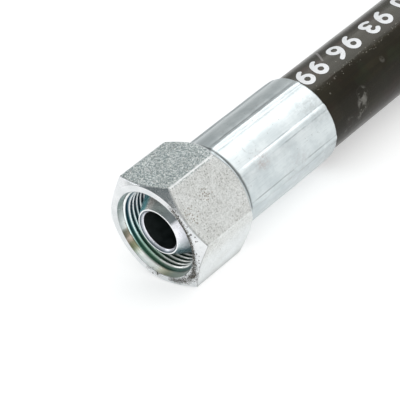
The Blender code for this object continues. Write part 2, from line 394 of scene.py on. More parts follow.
def nut_mesh(name):
    outline = hexagon()
    outline = np.concatenate([outline, outline[:1]])
    radii = np.hypot(outline[:, 0], outline[:, 1])
    angles = np.unwrap(np.arctan2(outline[:, 1], outline[:, 0]))
    columns = [nut_profile(radius) for radius in radii]
    outside = np.array([
        [(radius * math.cos(angle), radius * math.sin(angle), height) for radius, height in column]
        for column, angle in zip(columns, angles)
    ]).transpose(1, 0, 2)
    mouth = turned_grid(split([
        (MOUTH_RADIUS, LIP_DEPTH),
        (MOUTH_RADIUS - 0.6 * MOUTH_TAPER, 0.8 * MOUTH_DEPTH),
        (MOUTH_RADIUS - MOUTH_TAPER, MOUTH_DEPTH),
    ], 0.0005), angles)
    seat_end = SEAT_START + THREAD_MINOR_RADIUS - REAR_HOLE_RADIUS
    seat = turned_grid(split([
        (THREAD_MINOR_RADIUS, THREAD_END),
        (THREAD_MINOR_RADIUS, SEAT_START),
        (REAR_HOLE_RADIUS, seat_end),
        (REAR_HOLE_RADIUS, NUT_LENGTH),
    ], 0.0012), angles)
    mesh = mesh_of_grids(name, [outside, mouth, thread_grid(angles), seat])
    write_places(mesh, mesh_points(mesh))
    write_tints(mesh, nut_tints(mesh))
    attribute = mesh.attributes.new("grime", "FLOAT", "POINT")
    attribute.data.foreach_set("value", nut_grime(mesh))
    return mesh


def nut_grime(mesh):
    """How dirty each point is: up to 1 on a line that wanders round the mouth's rim, 0 from 2.4 mm off it."""
    angles, radii, heights = round_places(mesh)
    places = [stop[0] for stop in GRIME_LINE]
    middle = np.interp(angles, places, [stop[1] for stop in GRIME_LINE]) / 1000
    amount = np.interp(angles, places, [stop[2] for stop in GRIME_LINE])
    away = np.hypot(radii - middle, heights)
    return np.clip(1.15 - away / GRIME_REACH, 0, 1) * amount


def nut_tints(mesh):
    """Colours inside the mouth, faint plating hues mixed with painted reflections: a lead-in band, and a
    thread with painted highlights on its crests and painted shade that makes it darker in its valleys.
    """
    angles, radii, heights = round_places(mesh)
    band = colour_round(angles, BAND_TINTS)
    crest = colour_round(angles, CREST_TINTS)
    valley = colour_round(angles, VALLEY_TINTS)
    turns = (heights - MOUTH_DEPTH) / THREAD_PITCH - angles / 360 + THREAD_SHIFT
    share = np.clip((thread_flank(turns) - DARK_START) / DARK_SHARE, 0, 1)[:, None]
    thread = crest + (valley - crest) * share
    band = np.where((heights > MOUTH_DEPTH - 5 * HAIR)[:, None], band * BAND_STEP_SHADE, band)
    return np.where((heights < MOUTH_DEPTH + HAIR)[:, None], band, thread)


# Nipple and ferrule

def nipple_mesh(name):
    cone_end = NOSE_SETBACK + (CONE_TOP_RADIUS - NOSE_RADIUS) / math.tan(math.radians(30))
    neck_end = FERRULE_START + NECK_SEAT_DEPTH
    tail_end = FERRULE_END - CLEARANCE
    outline = [
        (TAIL_RADIUS, tail_end),
        (TAIL_RADIUS, neck_end),
        (NECK_RADIUS, neck_end),
        (NECK_RADIUS, SHOULDER_END),
        (CONE_TOP_RADIUS, SHOULDER_START),
        (CONE_TOP_RADIUS, cone_end),
        # the nose: a front edge, a step and an inner bevel
        (NOSE_RADIUS, NOSE_SETBACK),
        (NOSE_RADIUS - 0.00034, NOSE_SETBACK + 0.00004),
        (NOSE_RADIUS - 0.00054, NOSE_SETBACK + 0.00026),
        (BORE_RADIUS - 0.00005, NOSE_SETBACK + 0.00082),
        (BORE_RADIUS - 0.00005, tail_end),
    ]
    outline = rounded(outline, {4: 0.0003, 5: 0.0006, 6: 0.00026, 7: 0.00005, 9: 0.00012})
    outline = split(outline, 0.001)
    outline.append(outline[0])
    angles = np.linspace(0, 2 * math.pi, NIPPLE_COLUMNS)
    mesh = mesh_of_grids(name, [turned_grid(outline, angles)])
    write_places(mesh, mesh_points(mesh))
    # the cone's tints, faint plating hues with painted reflections and shade, round the nose's front edge
    # with its painted highlight, then painted shade in the nose's step and a pale bevel
    angles, radii, heights = round_places(mesh)
    lip = np.clip((radii - NOSE_RADIUS + 0.00006) / 0.0002, 0, 1)[:, None]
    crown = np.clip(1.3 - np.abs(radii - NOSE_RADIUS + 0.00016) / 0.00014, 0, 1)[:, None]
    nose = NOSE_COLOUR + (NOSE_EDGE_COLOUR - NOSE_COLOUR) * crown
    tints = nose + (colour_round(angles, CONE_TINTS) - nose) * lip
    front = heights < 2 * NOSE_SETBACK
    tints[front & (np.abs(radii - (NOSE_RADIUS - 0.00049)) < 0.00013)] = NOSE_STEP_COLOUR
    tints[front & (radii < NOSE_RADIUS - 0.00064)] = NOSE_BEVEL_COLOUR
    write_tints(mesh, tints)
    return mesh


def ferrule_mesh(name):
    """The crimped sleeve: the jaws' flat marks with a soft ridge between each two, and rounded rims."""
    per_jaw = 44
    turns = np.arange(JAW_COUNT * per_jaw + 1) / (JAW_COUNT * per_jaw) * 2 * math.pi
    jaw = 2 * math.pi / JAW_COUNT
    # columns crowd at the ridges
    share = (turns / jaw) % 1.0
    crowd = share - 0.145 * np.sin(2 * math.pi * share)
    angles = np.floor(turns / jaw + 1e-9) * jaw + crowd * jaw + JAW_PHASE
    angles[-1] = angles[0] + 2 * math.pi
    offset = (angles - JAW_PHASE + jaw / 2) % jaw - jaw / 2
    across = offset * FERRULE_RADIUS
    ridge = RIDGE_HEIGHT * np.exp(-((np.abs(across) / RIDGE_HALF_WIDTH) ** 2.4))
    groove = -GROOVE_DEPTH * np.exp(-(((np.abs(across) - GROOVE_PLACE) / GROOVE_HALF_WIDTH) ** 2))
    # rows of (height, drop), where the drop rounds both rims
    steps = (0.0, 0.04, 0.12, 0.25, 0.45, 0.7, 1.0)
    curve = [(t, RIM_ROUNDING * (1 - math.sqrt(1 - (1 - t) ** 2))) for t in steps]
    rows = [(FERRULE_START + RIM_ROUNDING * t, drop) for t, drop in curve]
    inner = np.linspace(FERRULE_START + RIM_ROUNDING, FERRULE_END - RIM_ROUNDING, 60)[1:-1]
    rows += [(place, 0.0) for place in inner]
    rows += [(FERRULE_END - RIM_ROUNDING * t, drop) for t, drop in reversed(curve)]
    grid = []
    for height, drop in rows:
        near_start = math.exp(-((height - FERRULE_START) / RIM_FADE) ** 2)
        near_end = math.exp(-((FERRULE_END - height) / RIM_FADE) ** 2)
        fade = 1.0 - 0.55 * near_start - 0.45 * near_end
        # slow dents in the sleeve
        wave = 0.000022 * np.sin(3 * angles + 260 * height) * np.sin(210 * height + 1.3)
        wave += 0.000016 * np.sin(7 * angles - 340 * height + 0.7)
        radii = FERRULE_RADIUS - drop + (ridge + groove) * fade + wave
        grid.append(np.stack([radii * np.cos(angles), radii * np.sin(angles), height + 0 * angles], axis=-1))
    outside = np.array(grid)
    neck_hole, tail_hole = NECK_RADIUS + CLEARANCE, TAIL_RADIUS + CLEARANCE
    seat_end = FERRULE_START + NECK_SEAT_DEPTH + CLEARANCE
    front = turned_face(outside[0], neck_hole, FERRULE_START)
    back = turned_face(outside[-1], tail_hole, FERRULE_END)
    hole = turned_grid([
        (tail_hole, FERRULE_END),
        (tail_hole, seat_end),
        (neck_hole, seat_end),
        (neck_hole, FERRULE_START),
    ], angles)
    mesh = mesh_of_grids(name, [outside, front, back, hole])
    write_places(mesh, mesh_points(mesh))
    return mesh


def turned_face(rim, radius, height):
    """A flat ring from a rim inwards to a radius."""
    reach = np.hypot(rim[:, 0], rim[:, 1])
    rings = []
    for t in (0.0, 0.3, 1.0):
        inward = (reach + (radius - reach) * t) / reach
        rings.append(np.stack([rim[:, 0] * inward, rim[:, 1] * inward, height + 0 * reach], axis=-1))
    return np.array(rings)


# Hose

def hose_route():
    """The points that the hose passes through, from the near ferrule to the far one."""
    lead = [HOSE_START, HOSE_START + HOSE_LEAD / 2, HOSE_START + HOSE_LEAD]
    near = [NEAR_POSE @ Vector((0.0, 0.0, distance)) for distance in lead]
    near += [Vector(point) for point in HALF_ROUTE]
    far = [HALF_TURN @ point for point in reversed(near)]
    return near + [Vector(MIDDLE_OF_ROUTE)] + far


def smooth_points(route, spacing):
    """Points on a centripetal Catmull-Rom curve through the route, about one spacing apart."""
    before = route[0] - (route[1] - route[0])
    after = route[-1] + (route[-1] - route[-2])
    stops = [before] + route + [after]
    points = [route[0]]
    for p0, p1, p2, p3 in zip(stops, stops[1:], stops[2:], stops[3:]):
        t1 = (p1 - p0).length ** 0.5
        t2 = t1 + (p2 - p1).length ** 0.5
        t3 = t2 + (p3 - p2).length ** 0.5
        count = max(1, round((p2 - p1).length / spacing))
        for number in range(1, count + 1):
            t = t1 + (t2 - t1) * number / count
            a1 = p0.lerp(p1, t / t1)
            a2 = p1.lerp(p2, (t - t1) / (t2 - t1))
            a3 = p2.lerp(p3, (t - t2) / (t3 - t2))
            b1 = a1.lerp(a2, t / t2)
            b2 = a2.lerp(a3, (t - t1) / (t3 - t1))
            points.append(b1.lerp(b2, (t - t1) / (t2 - t1)))
    return points


hose_line = np.array([tuple(point) for point in smooth_points(hose_route(), HOSE_SPACING)])
hose_steps = np.linalg.norm(np.diff(hose_line, axis=0), axis=1)
hose_along = np.concatenate([[0.0], np.cumsum(hose_steps)])
hose_tangents = np.gradient(hose_line, hose_along, axis=0)
hose_tangents /= np.linalg.norm(hose_tangents, axis=1)[:, None]
hose_sides = np.cross((0.0, 0.0, 1.0), hose_tangents)
hose_sides /= np.linalg.norm(hose_sides, axis=1)[:, None]
hose_ups = np.cross(hose_tangents, hose_sides)


def on_hose(along, angle, radius):
    """Points at distances along the hose and angles round it."""
    along, angle = np.broadcast_arrays(np.asarray(along, float), np.asarray(angle, float))
    parts = []
    for table in (hose_line, hose_sides, hose_ups):
        parts.append(np.stack([np.interp(along, hose_along, table[:, axis]) for axis in range(3)], axis=-1))
    turn = np.cos(angle)[..., None] * parts[1] + np.sin(angle)[..., None] * parts[2]
    return parts[0] + turn * np.asarray(radius)[..., None]


def hose_mesh(name):
    angles = np.linspace(0, 2 * math.pi, HOSE_COLUMNS)
    radii = np.full((len(hose_along), HOSE_COLUMNS), HOSE_RADIUS)
    grid = on_hose(hose_along[:, None], angles[None, :], radii)
    caps = []
    for row in (0, -1):
        centre = hose_line[row]
        caps.append(np.array([centre + (grid[row] - centre) * share for share in (1.0, 0.5, 0.0)]))
    mesh = mesh_of_grids(name, [grid, *caps])
    write_places(mesh, straight_places(mesh_points(mesh)))
    return mesh


def straight_places(points):
    """The places of points on the hose as if it were straight, with its axis along Z."""
    nearest = np.argmin(np.linalg.norm(points[:, None, :] - hose_line[None, :, :], axis=-1), axis=1)
    away = points - hose_line[nearest]
    along = hose_along[nearest] + np.sum(away * hose_tangents[nearest], axis=1)
    sideways = np.sum(away * hose_sides[nearest], axis=1)
    upwards = np.sum(away * hose_ups[nearest], axis=1)
    return np.stack([sideways, upwards, along], axis=-1)


# Materials

def add(kind, values=None, **settings):
    """A node in the tree that is being made; each value is a number, a colour or another node's output."""
    made = tree.nodes.new("ShaderNode" + kind)
    for name, value in settings.items():
        setattr(made, name, value)
    for name, value in (values or {}).items():
        if isinstance(value, bpy.types.NodeSocket):
            tree.links.new(value, made.inputs[name])
        else:
            made.inputs[name].default_value = value
    return made


def new_material(name, metallic, roughness):
    """A material and its shader. The nodes that are added next go into its tree."""
    global tree
    material = bpy.data.materials.new(name)
    material.use_nodes = True
    tree = material.node_tree
    shader = tree.nodes["Principled BSDF"]
    shader.inputs["Metallic"].default_value = metallic
    shader.inputs["Roughness"].default_value = roughness
    return material, shader


def feed(shader, **values):
    """Links nodes' outputs to a shader's inputs, whose names have _ for a space."""
    for name, value in values.items():
        tree.links.new(value, shader.inputs[name.replace("_", " ")])


def noise(place, scale, detail=2.0, roughness=0.5):
    values = {"Vector": place, "Scale": scale, "Detail": detail, "Roughness": roughness}
    return add("TexNoise", values).outputs["Fac"]


def between(value, low, high, to_low=0.0, to_high=1.0):
    """The value carried smoothly from low and high to another range, and held there outside it."""
    values = {"Value": value, "From Min": low, "From Max": high, "To Min": to_low, "To Max": to_high}
    return add("MapRange", values, interpolation_type="SMOOTHSTEP").outputs["Result"]


def calculate(operation, first, second=0.0):
    return add("Math", {0: first, 1: second}, operation=operation).outputs[0]


def product(first, second):
    return calculate("MULTIPLY", first, second)


def measure(operation, *vectors):
    """A number from one or two vectors."""
    return add("VectorMath", dict(enumerate(vectors)), operation=operation).outputs["Value"]


def distance_from(value, place):
    """How far a value is from a number."""
    return calculate("ABSOLUTE", calculate("SUBTRACT", value, place))


def mix(share, first, second, blend="MIX"):
    """A mix of two colours, each three numbers or another node's output."""
    values = {0: share}
    for slot, colour in ((6, first), (7, second)):
        values[slot] = (*colour, 1.0) if isinstance(colour, tuple) else colour
    return add("Mix", values, data_type="RGBA", blend_type=blend).outputs[2]


def stretched(place, scale):
    """A place scaled along each axis, for a pattern that is longer one way."""
    return add("VectorMath", {0: place, 1: scale}, operation="MULTIPLY").outputs[0]


def local_place():
    """The point's place along its own fitting or hose, in millimetres."""
    return add("Attribute", attribute_name="local_place").outputs["Vector"]


def bumped(shader, height, distance):
    """Relief from a height that runs from 0 to about 1, which stands for this distance in metres."""
    bump = add("Bump", {"Height": height, "Distance": distance})
    feed(shader, Normal=bump.outputs["Normal"])


def spots(place, scale, size, share):
    """Small round spots: 1 inside a spot, 0 outside, with this share of the cells having one."""
    cells = add("TexVoronoi", {"Vector": place, "Scale": scale})
    near = between(cells.outputs["Distance"], size, size * 1.6, 1.0, 0.0)
    chance = add("SeparateColor", {0: cells.outputs["Color"]}).outputs[0]
    chosen = calculate("LESS_THAN", chance, share)
    return product(near, chosen)


def round_window(place, centre, radius):
    """1 within half the radius of a place, fading to 0 at the radius."""
    return between(measure("DISTANCE", place, centre), 0.5 * radius, radius, 1.0, 0.0)


def zinc_nut():
    """Zinc over rough flats with dark specks and painted light and shade by side, smooth turned ends, painted
    highlights and shade on the edges, and grime at the mouth.
    """
    material, shader = new_material("zinc_nut", 1.0, 0.36)
    place = local_place()
    axes = add("SeparateXYZ", {0: place}).outputs
    reach = measure("LENGTH", stretched(place, (1.0, 1.0, 0.0)))
    cells = add("TexVoronoi", {"Vector": place, "Scale": 3.7})
    cell = add("SeparateColor", {0: cells.outputs["Color"]}).outputs[0]
    grain = noise(place, 3.5, 3.0, 0.8)
    grain = calculate("ADD", product(cell, 0.42), product(grain, 0.58))
    fine = noise(place, 4.0, 2.0, 0.6)
    cloud = noise(place, 0.16, 3.0, 0.55)
    # painted light by side: the top flat gets a coarser, darker grain, partly its own texture and partly
    # painted shade, and the lower faces get lighter colours as a painted reflection of the floor
    coarse_and_shaded_top = between(axes["Y"], 15.0, 15.9)
    low = between(axes["Y"], -2.0, -9.0)
    light = mix(low, (0.83, 0.845, 0.835), (0.84, 0.865, 0.87))
    light = mix(coarse_and_shaded_top, light, (0.97, 1.0, 0.99))
    dark = mix(low, (0.62, 0.635, 0.62), (0.74, 0.77, 0.775))
    dark = mix(coarse_and_shaded_top, dark, (0.27, 0.35, 0.36))
    colour = mix(between(grain, 0.36, 0.64), dark, light)
    colour = mix(between(cloud, 0.35, 0.65, 0.0, 0.35), colour, (0.84, 0.83, 0.81), "MULTIPLY")
    rough_side = between(axes["Y"], -8.0, -2.0)
    speck_share = product(between(cloud, 0.36, 0.62, 0.05, 0.24), rough_side)
    speck = spots(place, 2.3, 0.34, speck_share)
    colour = mix(product(speck, 0.62), colour, (0.23, 0.23, 0.21))
    for centre, radius in (((-12.6, 9.7, 10.7), 2.6), ((-13.9, 7.9, 3.6), 3.4), ((13.9, 8.0, 9.0), 3.0)):
        window = round_window(place, centre, radius)
        pits = spots(place, 1.9, 0.3, product(window, 0.6))
        colour = mix(product(pits, 0.75), colour, (0.2, 0.15, 0.09))
    # the edges between the flats get a painted highlight, strongest above, and painted shade below
    edge = between(reach, 18.26, 18.36)
    above = product(edge, between(axes["Y"], 1.5, 5.0, 0.15, 0.9))
    colour = mix(above, colour, (0.98, 0.99, 0.99))
    edge = between(reach, 16.4, 18.4)
    below = product(edge, between(axes["Y"], -12.0, -15.5))
    colour = mix(product(below, 0.4), colour, (0.3, 0.31, 0.31))
    # the ends are turned: smooth, with fine rings
    past_ring = calculate("SUBTRACT", reach, 1000 * FRONT_RING_RADIUS)
    cone = product(calculate("MAXIMUM", past_ring, 0.0), 0.577)
    depth = calculate("SUBTRACT", axes["Z"], cone)
    front = between(depth, 0.06, 0.2, 1.0, 0.0)
    rear = between(calculate("ADD", axes["Z"], reach), 37.95, 38.15)
    turned = calculate("MAXIMUM", front, rear)
    smooth = mix(between(cloud, 0.35, 0.65), (0.67, 0.69, 0.7), (0.78, 0.79, 0.8))
    wear_and_glint_mask = between(noise(place, 1.3, 4.0, 0.8), 0.58, 0.68, 0.0, 0.45)
    smooth = mix(wear_and_glint_mask, smooth, (0.44, 0.45, 0.44))
    for centre, radius in (((-8.2, -12.6, 0.3), 5.0), ((-13.6, -4.5, 0.3), 4.0), ((-14.5, 5.0, 0.3), 4.0)):
        window = round_window(place, centre, radius)
        nicks = spots(place, 1.5, 0.26, product(window, 0.55))
        smooth = mix(product(nicks, 0.85), smooth, (0.045, 0.04, 0.034))
    colour = mix(turned, colour, smooth)
    # painted shade: a fine dark line where the turned end cuts the rough flats, dimming the lamps' reflection
    # in the rounded edge
    rim = product(between(depth, 0.04, 0.14), between(depth, 0.42, 0.7, 1.0, 0.0))
    colour = mix(product(rim, 0.42), colour, (0.15, 0.16, 0.16))
    # smeared grime, and crumbs of it
    grime = add("Attribute", attribute_name="grime").outputs["Fac"]
    patch = noise(place, 3.4, 3.0, 0.8)
    smear = between(calculate("ADD", patch, product(grime, 0.31)), 0.72, 0.75)
    crumbs = spots(place, 1.45, 0.3, product(calculate("POWER", grime, 1.6), 0.75))
    grime = calculate("MAXIMUM", smear, crumbs)
    shade = between(noise(place, 2.6, 2.0, 0.7), 0.52, 0.62)
    dirt = mix(shade, (0.016, 0.014, 0.01), (0.17, 0.145, 0.1))
    colour = mix(grime, colour, dirt)
    rough = between(grain, 0.3, 0.7, 0.32, 0.46)
    rough = calculate("SUBTRACT", rough, product(turned, 0.19))
    feed(shader, Base_Color=colour, Roughness=rough)
    height = calculate("ADD", grain, product(fine, 0.35))
    outwards = add("CombineXYZ", {0: reach}).outputs[0]
    rings = noise(stretched(outwards, (6.0, 1.0, 1.0)), 1.0)
    height = mix(turned, height, product(rings, 0.1))
    height = calculate("SUBTRACT", height, product(grime, 0.6))
    bumped(shader, height, 0.00016)
    return material


def tinted_zinc(name, roughness):
    """Machined zinc plating with its colours painted on the mesh, faint hues mixed with painted reflections,
    highlights and shade, and turning marks.
    """
    material, shader = new_material(name, 0.6, roughness)
    place = local_place()
    tint = add("Attribute", attribute_name="tint").outputs["Color"]
    cloud = noise(place, 0.45, 3.0, 0.6)
    colour = mix(between(cloud, 0.35, 0.7, 0.0, 0.25), tint, (0.8, 0.8, 0.86), "MULTIPLY")
    speck = spots(place, 1.5, 0.22, between(cloud, 0.45, 0.62, 0.01, 0.09))
    colour = mix(product(speck, 0.7), colour, (0.1, 0.1, 0.09))
    blotch = between(noise(place, 0.8, 4.0, 0.75), 0.6, 0.7, 0.0, 0.4)
    colour = mix(blotch, colour, (0.16, 0.17, 0.17))
    marks = noise(stretched(place, (0.15, 0.15, 9.0)), 1.0)
    rough = between(cloud, 0.3, 0.7, roughness - 0.05, roughness + 0.08)
    feed(shader, Base_Color=colour, Roughness=rough)
    bumped(shader, marks, 0.00002)
    return material


def zinc_ferrule():
    """Bright satin plating drawn lengthwise by the crimping jaws, with darker patches at listed places,
    painted shade along the ridges' feet and a painted shadow beside the nut.
    """
    material, shader = new_material("zinc_ferrule", 1.0, 0.34)
    place = local_place()
    cloud = noise(place, 0.17, 5.0, 0.68)
    streak = noise(stretched(place, (3.2, 3.2, 0.16)), 1.0, 3.0, 0.6)
    colour = mix(between(cloud, 0.35, 0.65), (0.545, 0.595, 0.61), (0.67, 0.715, 0.725))
    colour = mix(between(streak, 0.35, 0.65, 0.0, 0.25), colour, (0.76, 0.78, 0.79), "MULTIPLY")
    for centre, radius, tone, amount in (
        ((-12.2, 6.2, 33.6), 3.4, (0.42, 0.36, 0.35), 0.55),
        ((-10.4, 8.8, 57.6), 3.0, (0.3, 0.32, 0.32), 0.6),
        ((-9.5, 9.8, 59.5), 9.0, (0.48, 0.52, 0.53), 0.75),
        ((-3.0, 13.3, 47.0), 5.0, (0.52, 0.52, 0.52), 0.35),
        ((-13.2, -3.0, 45.0), 7.0, (0.5, 0.51, 0.52), 0.5),
        ((12.5, -5.0, 40.0), 6.0, (0.46, 0.45, 0.44), 0.45),
        ((9.5, 9.5, 30.0), 6.0, (0.48, 0.48, 0.48), 0.4),
    ):
        window = round_window(place, centre, radius)
        broken = between(noise(place, 0.9, 4.0, 0.7), 0.42, 0.62)
        share = product(product(window, broken), amount)
        colour = mix(share, colour, tone)
    # a faint round handling mark on the side
    away = measure("DISTANCE", place, (-8.9, 10.2, 33.2))
    mark = between(distance_from(away, 2.1), 0.12, 0.3, 0.4, 0.0)
    colour = mix(product(mark, broken), colour, (0.28, 0.28, 0.28))
    speck = spots(place, 1.2, 0.16, 0.1)
    colour = mix(product(speck, 0.5), colour, (0.25, 0.25, 0.24))
    scratch = noise(stretched(place, (5.0, 5.0, 0.35)), 1.0)
    colour = mix(between(scratch, 0.62, 0.68, 0.0, 0.3), colour, (0.38, 0.41, 0.42))
    # painted shade: thin dark lines along both feet of each ridge
    axes = add("SeparateXYZ", {0: place}).outputs
    turn = calculate("ARCTAN2", axes["Y"], axes["X"])
    half_jaw = math.pi / JAW_COUNT
    ends = {1: JAW_PHASE + half_jaw, 2: JAW_PHASE - half_jaw}
    offset = add("Math", {0: turn, **ends}, operation="WRAP").outputs[0]
    across = product(distance_from(offset, JAW_PHASE), 1000 * FERRULE_RADIUS)
    ridge_foot_shade = between(distance_from(across, 1.1), 0.06, 0.3, 0.65, 0.0)
    patchy = noise(stretched(place, (0.3, 0.3, 0.12)), 1.0, 4.0, 0.7)
    ridge_foot_shade = product(ridge_foot_shade, between(patchy, 0.4, 0.6, 0.15, 1.0))
    colour = mix(ridge_foot_shade, colour, (0.25, 0.28, 0.29))
    # painted shadow on the ferrule beside the nut
    colour = mix(between(axes["Z"], 24.6, 25.2, 0.8, 0.0), colour, (0.07, 0.08, 0.08))
    feed(shader, Base_Color=colour, Roughness=between(cloud, 0.3, 0.7, 0.3, 0.4))
    fine = noise(place, 3.0)
    height = calculate("ADD", streak, product(fine, 0.25))
    bumped(shader, height, 0.00002)
    return material


def line_mark(place, first, last, width):
    """1 on a straight mark between two places, fading to 0 beside it and at its ends."""
    first, last = Vector(first), Vector(last)
    heading = tuple((last - first).normalized())
    middle = tuple((first + last) / 2)
    half = (last - first).length / 2
    away = add("VectorMath", {0: place, 1: middle}, operation="SUBTRACT").outputs[0]
    along = measure("DOT_PRODUCT", away, heading)
    across = add("VectorMath", {0: away, 1: heading}, operation="CROSS_PRODUCT").outputs[0]
    across = measure("LENGTH", across)
    inside = between(calculate("ABSOLUTE", along), 0.8 * half, half, 1.0, 0.0)
    return product(inside, between(across, 0.5 * width, width, 1.0, 0.0))


def hose_rubber():
    """A smooth black cover with a brown cast, blotches, a line of light specks that are painted highlights,
    scuffs and scratches.
    """
    material, shader = new_material("hose_rubber", 0.0, 0.3)
    shader.inputs["Specular IOR Level"].default_value = 0.17
    shader.inputs["Specular Tint"].default_value = (1.0, 1.0, 0.9, 1.0)
    place = local_place()
    cloud = noise(place, 0.075, 4.0, 0.55)
    hue = noise(place, 0.13)
    grain = noise(place, 2.2, 2.0, 0.6)
    wrap = noise(stretched(place, (0.5, 0.5, 0.03)), 1.0, 3.0, 0.6)
    colour = mix(between(cloud, 0.35, 0.65), (0.0086, 0.0068, 0.0034), (0.0158, 0.0134, 0.0074))
    colour = mix(between(hue, 0.56, 0.7, 0.0, 0.7), colour, (0.02, 0.0105, 0.0078))
    colour = mix(between(hue, 0.3, 0.44, 0.7, 0.0), colour, (0.0115, 0.014, 0.007))
    colour = mix(between(wrap, 0.4, 0.65, 0.5, 0.0), colour, (0.0052, 0.0044, 0.0034))
    # painted highlights: a line of light specks beside the print, where the cover lies this way from the axis
    wear_and_glint_mask = between(measure("DOT_PRODUCT", place, (-0.0463, 0.063, 0.0)), 0.9945, 0.999)
    speck = spots(place, 0.6, 0.13, between(wear_and_glint_mask, 0.0, 1.0, 0.06, 0.12))
    colour = mix(product(speck, 0.3), colour, (0.2, 0.19, 0.17))
    fine_glint_specks = spots(place, 2.0, 0.2, product(wear_and_glint_mask, 0.3))
    colour = mix(product(fine_glint_specks, 0.55), colour, (0.22, 0.21, 0.18))
    broken = between(noise(place, 0.42, 3.0, 0.6), 0.44, 0.58)
    for centre, radius, amount in (
        ((-12.6, 2.8, 14.2), 2.6, 0.36),
        ((-12.8, -0.2, 13.2), 3.0, 0.55),
        ((-12.5, -2.8, 11.8), 2.0, 0.35),
        ((-12.6, -2.5, 6.6), 2.2, 0.18),
        ((-11.8, -5.1, 4.5), 1.6, 0.22),
        ((-10.9, 6.7, 26.9), 1.2, 0.2),
        ((10.5, 7.3, 60.0), 5.0, 0.3),
        ((-4.0, 12.0, 205.0), 6.0, 0.28),
        ((11.0, 6.0, 250.0), 5.0, 0.3),
        ((-12.0, 3.0, 330.0), 5.0, 0.3),
    ):
        share = product(round_window(place, centre, radius), broken)
        colour = mix(product(share, amount), colour, (0.17, 0.165, 0.15))
    scratches = calculate(
        "MAXIMUM",
        line_mark(place, (4.0, 12.2, 16.0), (1.0, 12.76, 14.1), 0.45),
        line_mark(place, (1.4, 12.75, 14.3), (-1.9, 12.7, 12.2), 0.4),
    )
    for first, last in (((9.0, 9.1, 150.0), (10.6, 7.2, 158.0)), ((-6.0, 11.3, 300.0), (-9.0, 9.1, 305.0))):
        scratches = calculate("MAXIMUM", scratches, line_mark(place, first, last, 0.45))
    colour = mix(product(scratches, 0.55), colour, (0.16, 0.15, 0.15))
    feed(shader, Base_Color=colour, Roughness=between(cloud, 0.3, 0.7, 0.16, 0.24))
    height = calculate("ADD", cloud, product(grain, 0.03))
    height = calculate("ADD", height, product(wrap, 0.25))
    bumped(shader, height, 0.0002)
    return material


def white_print():
    """White ink, slightly worn."""
    material, shader = new_material("white_print", 0.0, 0.5)
    place = add("TexCoord").outputs["Object"]
    wear = noise(place, 900.0, 4.0, 0.65)
    colour = mix(between(wear, 0.28, 0.42), (0.6, 0.6, 0.59), (0.84, 0.85, 0.87))
    feed(shader, Base_Color=colour)
    bumped(shader, wear, 0.00002)
    return material


def dark_bore():
    """The nearly black inside of the bore."""
    material, shader = new_material("dark_bore", 0.0, 0.55)
    shade = noise(local_place(), 0.6, 3.0, 0.6)
    colour = mix(between(shade, 0.35, 0.65), (0.003, 0.0045, 0.0045), (0.008, 0.011, 0.011))
    feed(shader, Base_Color=colour)
    bumped(shader, shade, 0.00003)
    return material


materials = {
    "bore": dark_bore(),
    "nut": zinc_nut(),
    "thread": tinted_zinc("zinc_thread", 0.2),
    "nipple": tinted_zinc("zinc_nipple", 0.24),
    "ferrule": zinc_ferrule(),
    "rubber": hose_rubber(),
    "print": white_print(),
}


# The hose first

hose = new_piece("hose_cover", hose_mesh("hose_cover"), materials["rubber"])
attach(hose, "hose_assembly")
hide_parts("hose")


# Plain numbers on the hose, each digit drawn as round strokes in a box 0.66 wide and 1 high

def arc(x, y, width, height, start, end):
    """Points on an ellipse from one angle in degrees to another."""
    turns = np.radians(np.linspace(start, end, max(4, round(abs(end - start) / 12))))
    return [(x + width * math.cos(turn), y + height * math.sin(turn)) for turn in turns]


def bend(start, control, end):
    """Points on a curve from start towards end that leans towards the control point."""
    count = 8
    points = []
    for number in range(count):
        t = number / count
        where = Vector(start) * (1 - t) ** 2 + Vector(control) * 2 * t * (1 - t) + Vector(end) * t ** 2
        points.append((where.x, where.y))
    return points


six = bend((0.49, 0.9), (0.13, 0.74), (0.1, 0.33)) + arc(0.33, 0.33, 0.23, 0.23, 180, 540)
DIGITS = {
    "0": [arc(0.33, 0.5, 0.22, 0.4, 90, 450)],
    "1": [[(0.17, 0.72), (0.35, 0.9), (0.35, 0.1)]],
    "2": [arc(0.33, 0.67, 0.23, 0.23, 165, -40) + [(0.11, 0.1), (0.56, 0.1)]],
    "3": [arc(0.32, 0.7, 0.21, 0.2, 150, -95), arc(0.32, 0.3, 0.23, 0.2, 95, -150)],
    "4": [[(0.45, 0.1), (0.45, 0.9), (0.09, 0.32), (0.58, 0.32)]],
    "5": [[(0.53, 0.9), (0.17, 0.9), (0.14, 0.54)] + arc(0.32, 0.35, 0.24, 0.25, 120, -140)],
    "6": [six],
    "7": [[(0.1, 0.9), (0.56, 0.9), (0.24, 0.1)]],
    "8": [arc(0.33, 0.7, 0.19, 0.2, -90, 270), arc(0.33, 0.3, 0.22, 0.2, 90, 450)],
    "9": [[(0.66 - x, 1.0 - y) for x, y in six]],
}


